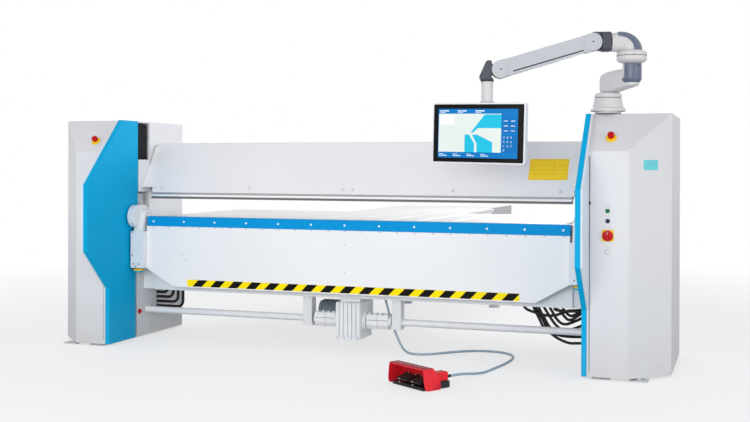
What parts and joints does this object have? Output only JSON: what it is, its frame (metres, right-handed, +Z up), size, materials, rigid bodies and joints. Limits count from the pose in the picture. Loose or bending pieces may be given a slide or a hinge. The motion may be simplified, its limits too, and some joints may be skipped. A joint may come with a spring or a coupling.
{
  "type": "sheet metal folding machine",
  "caption": "Sheet metal folding machine with two end towers, a sliding clamping beam, a swinging folding beam, a feed table, a jointed arm with a screen and a foot switch.",
  "frame": {"origin": "centre of the machine's own box on the floor", "axes": "+X along the bend line to the right end tower, +Y to the back over the feed table, +Z up"},
  "size_m": [4.36, 3.902, 2.118],
  "materials": {
    "white_paint": "satin",
    "grey_paint": "satin",
    "blue_paint": "satin",
    "dark_paint": "satin",
    "steel": "brushed",
    "chrome": "polished",
    "bellows_black": "matte",
    "bellows_grey": "matte",
    "hose_black": "matte",
    "cable_grey": "satin",
    "black_plastic": "matte",
    "dark_plastic": "satin",
    "red_plastic": "satin",
    "red_button": "gloss",
    "yellow_plastic": "satin",
    "green_button": "gloss",
    "blue_button": "gloss",
    "screen_black": "gloss"
  },
  "bodies": {
    "machine": {"tower_left": "white_paint", "tower_right": "white_paint", "cheek_left": "blue_paint", "cheek_right": "blue_paint", "levelling_feet": "dark_paint", "pivot_pins": "steel", "bearing_blocks": "white_paint", "slide_guides": "grey_paint", "lower_beam": "white_paint", "lower_tool": "steel", "table_plates": "grey_paint", "table_frame": "grey_paint", "side_guide": "steel", "drive_tubes": "white_paint", "hanger_brackets": "white_paint", "gearbox": "white_paint", "shaft_couplings": "white_paint", "drive_motor": "dark_paint", "hose_bundle_left": "hose_black", "hose_bundle_right": "hose_black", "stop_collars": "yellow_plastic", "main_switch_plate": "yellow_plastic", "arm_base": "white_paint", "footswitch_base": "black_plastic", "footswitch_hood": "red_plastic", "footswitch_cable": "cable_grey", "bellows_upper": "bellows_black", "bellows_lower": "bellows_grey"},
    "clamp_beam": {"upper_beam": "grey_paint", "upper_tool": "chrome", "clamp_arms": "white_paint"},
    "folding_beam": {"bending_rail": "blue_paint", "apron": "white_paint", "beam_core": "white_paint", "end_arms": "white_paint", "adjuster_wheels": "yellow_plastic"},
    "stop_left": {"stop_button_left": "red_button"},
    "stop_right": {"stop_button_right": "red_button"},
    "switch_knob": {"main_switch_knob": "red_button"},
    "start": {"start_button": "green_button"},
    "reset": {"reset_button": "blue_button"},
    "foot_pedal_left": {"pedal_left": "black_plastic"},
    "foot_pedal_right": {"pedal_right": "black_plastic"},
    "arm_lower": {"arm_link": "white_paint"},
    "arm_upper": {"arm_elbow": "white_paint", "arm_boom": "grey_paint", "panel_head": "dark_plastic"},
    "panel": {"panel_housing": "white_paint", "screen": "screen_black"}
  },
  "joints": [
    {"name": "clamp_slide", "type": "slide", "parent": "machine", "child": "clamp_beam", "axis": [0, 0, 1], "range_m": [-0.123, 0], "deforming": ["bellows_upper", "bellows_lower"]},
    {"name": "fold_swing", "type": "hinge", "parent": "machine", "child": "folding_beam", "pos_m": [0, -0.88401, 0.918], "axis": [-1, 0, 0], "range_deg": [0, 140]},
    {"name": "stop_press_left", "type": "slide", "parent": "machine", "child": "stop_left", "axis": [0, -0.7071, 0.7071], "range_m": [-0.005, 0], "stiffness_N_per_m": 2500, "springref_m": 0.001},
    {"name": "stop_press_right", "type": "slide", "parent": "machine", "child": "stop_right", "axis": [0, -0.7071, 0.7071], "range_m": [-0.005, 0], "stiffness_N_per_m": 2500, "springref_m": 0.001},
    {"name": "switch_turn", "type": "hinge", "parent": "machine", "child": "switch_knob", "pos_m": [1.823, -1.25201, 0.875], "axis": [0, 1, 0], "range_deg": [0, 90]},
    {"name": "start_press", "type": "slide", "parent": "machine", "child": "start", "axis": [0, 1, 0], "range_m": [0, 0.003], "stiffness_N_per_m": 1500, "springref_m": -0.001},
    {"name": "reset_press", "type": "slide", "parent": "machine", "child": "reset", "axis": [0, 1, 0], "range_m": [0, 0.003], "stiffness_N_per_m": 1500, "springref_m": -0.001},
    {"name": "pedal_press_left", "type": "hinge", "parent": "machine", "child": "foot_pedal_left", "pos_m": [0.75016, -1.74484, 0.054], "axis": [0.832, -0.5548, 0], "range_deg": [0, 5], "stiffness_Nm_per_rad": 25, "springref_deg": -6.88},
    {"name": "pedal_press_right", "type": "hinge", "parent": "machine", "child": "foot_pedal_right", "pos_m": [0.85165, -1.81253, 0.054], "axis": [0.832, -0.5548, 0], "range_deg": [0, 5], "stiffness_Nm_per_rad": 25, "springref_deg": -6.88},
    {"name": "arm_base_swing", "type": "hinge", "parent": "machine", "child": "arm_lower", "pos_m": [1.785, -0.94901, 1.724], "axis": [0, 0, 1], "range_deg": [-10, 70]},
    {"name": "arm_elbow_swing", "type": "hinge", "parent": "arm_lower", "child": "arm_upper", "pos_m": [1.945, -1.09901, 1.97], "axis": [0, 0, 1], "range_deg": [-15, 75]},
    {"name": "panel_swivel", "type": "hinge", "parent": "arm_upper", "child": "panel", "pos_m": [1.10347, -1.35949, 1.811], "axis": [0, 0, 1], "range_deg": [-60, 60]}
  ]
}
